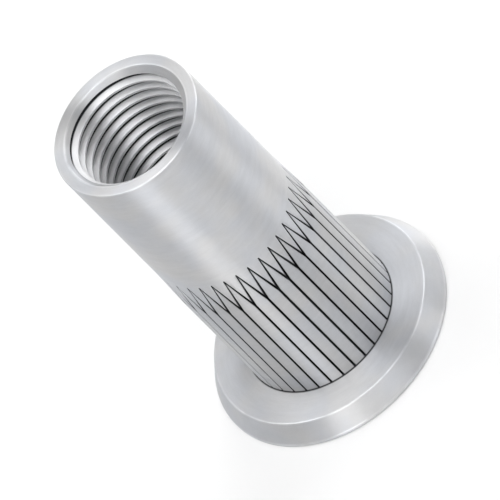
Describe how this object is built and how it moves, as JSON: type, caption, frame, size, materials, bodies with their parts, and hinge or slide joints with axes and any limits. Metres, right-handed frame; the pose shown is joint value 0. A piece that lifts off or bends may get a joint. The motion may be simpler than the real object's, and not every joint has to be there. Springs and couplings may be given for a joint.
{
  "type": "rivet nut",
  "caption": "Rivet nut with a large round flange, a straight-ribbed shank, a smooth barrel and an open threaded end, set from one side of a sheet to give it a thread.",
  "frame": {"origin": "centre of the flange's outer face, which is what the nut stands on", "axes": "+Z along the bore from the flange to the open threaded end; +X through the middle of one rib"},
  "size_m": [0.0192, 0.0192, 0.0296],
  "materials": {
    "zinc_plated_steel": "bright zinc plate, satin, with fine turning marks"
  },
  "bodies": {
    "root": {"rivet_nut": "zinc_plated_steel"}
  },
  "joints": []
}
